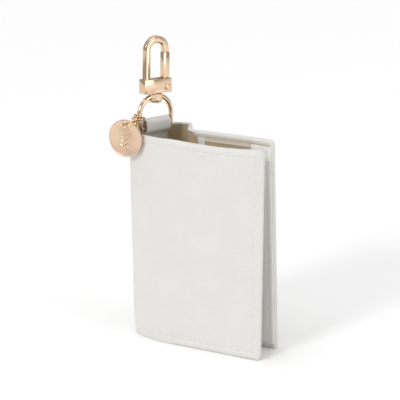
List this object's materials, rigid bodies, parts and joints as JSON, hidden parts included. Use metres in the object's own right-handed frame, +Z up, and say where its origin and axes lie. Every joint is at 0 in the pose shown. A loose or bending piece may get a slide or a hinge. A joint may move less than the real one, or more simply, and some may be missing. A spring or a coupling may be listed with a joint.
{
  "type": "pocket prayer book cover",
  "caption": "Two-cover leather case for a pocket prayer book, with a soft looped spine, inner pockets, a strap loop, a swivel clasp with a sprung gate, and a round charm on link rings.",
  "frame": {"origin": "middle of the whole model's box in plan, on the surface the case stands on", "axes": "+Z up along the spine, +X towards the fore edge, +Y from the front cover to the back cover"},
  "size_m": [0.0822, 0.0396, 0.1506],
  "materials": {
    "leather": "smooth white coated leather with a fine grain",
    "lining_cloth": "fine woven beige-gold cloth",
    "thread": "waxed white thread",
    "foam": "soft sheet foam",
    "board": "plain stiff board",
    "rose_gold": "polished rose-gold plate",
    "yellow_gold": "polished yellow-gold plate",
    "spring_steel": "drawn spring wire"
  },
  "bodies": {
    "spine": {"spine_skin": "leather", "spine_lining": "lining_cloth", "spine_stitching": "thread", "strap_loop": "leather", "strap_stitching": "thread"},
    "front_cover": {"front_skin": "leather", "front_padding": "foam", "front_board": "board", "front_lining": "lining_cloth", "front_pocket": "lining_cloth", "front_facing": "leather", "front_pocket_edge": "leather", "front_stitching": "thread"},
    "back_cover": {"back_skin": "leather", "back_padding": "foam", "back_board": "board", "back_lining": "lining_cloth", "back_pocket": "lining_cloth", "back_facing": "leather", "back_pocket_edge": "leather", "back_stitching": "thread"},
    "ring": {"swivel_ring": "rose_gold"},
    "clasp": {"clasp_body": "rose_gold", "swivel_rivet": "rose_gold", "gate_pin": "rose_gold", "gate_spring": "spring_steel"},
    "gate": {"clasp_gate": "rose_gold"},
    "upper_link": {"upper_link_ring": "yellow_gold"},
    "middle_link": {"middle_link_ring": "yellow_gold"},
    "lower_link": {"lower_link_ring": "yellow_gold"},
    "charm": {"charm_disc": "rose_gold"}
  },
  "joints": [
    {"name": "front_cover_hinge", "type": "hinge", "parent": "spine", "child": "front_cover", "pos_m": [-0.00837, -0.01533, 0.0525], "axis": [0, 0, -1], "range_deg": [-5, 100]},
    {"name": "back_cover_hinge", "type": "hinge", "parent": "spine", "child": "back_cover", "pos_m": [-0.00185, 0.00207, 0.0525], "axis": [0, 0, 1], "range_deg": [-5, 100]},
    {"name": "ring_swing", "type": "hinge", "parent": "spine", "child": "ring", "pos_m": [-0.02763, 0.00386, 0.1049], "axis": [0.4063, 0.9127, -0.0436], "range_deg": [-25, 25]},
    {"name": "clasp_swivel", "type": "hinge", "parent": "ring", "child": "clasp", "pos_m": [-0.02732, 0.00456, 0.12243], "axis": [0.0177, 0.0398, 0.999], "continuous": true},
    {"name": "gate_opening", "type": "hinge", "parent": "clasp", "child": "gate", "pos_m": [-0.02487, 0.01005, 0.12492], "axis": [0.9135, -0.4067, 0], "range_deg": [0, 25], "stiffness_Nm_per_rad": 0.002, "springref_deg": -34.38},
    {"name": "upper_link_turn", "type": "hinge", "parent": "ring", "child": "upper_link", "pos_m": [-0.03143, -0.00467, 0.1111], "axis": [0, 0, -1], "range_deg": [0, 80]},
    {"name": "middle_link_lift", "type": "hinge", "parent": "upper_link", "child": "middle_link", "pos_m": [-0.03047, -0.00885, 0.1111], "axis": [-0.9747, -0.2234, 0], "range_deg": [0, 40]},
    {"name": "lower_link_turn", "type": "hinge", "parent": "middle_link", "child": "lower_link", "pos_m": [-0.02935, -0.01375, 0.1111], "axis": [0, 0, -1], "range_deg": [0, 30]},
    {"name": "charm_swing", "type": "hinge", "parent": "lower_link", "child": "charm", "pos_m": [-0.03193, -0.01713, 0.11075], "axis": [0, 1, 0], "range_deg": [0, 20]}
  ]
}
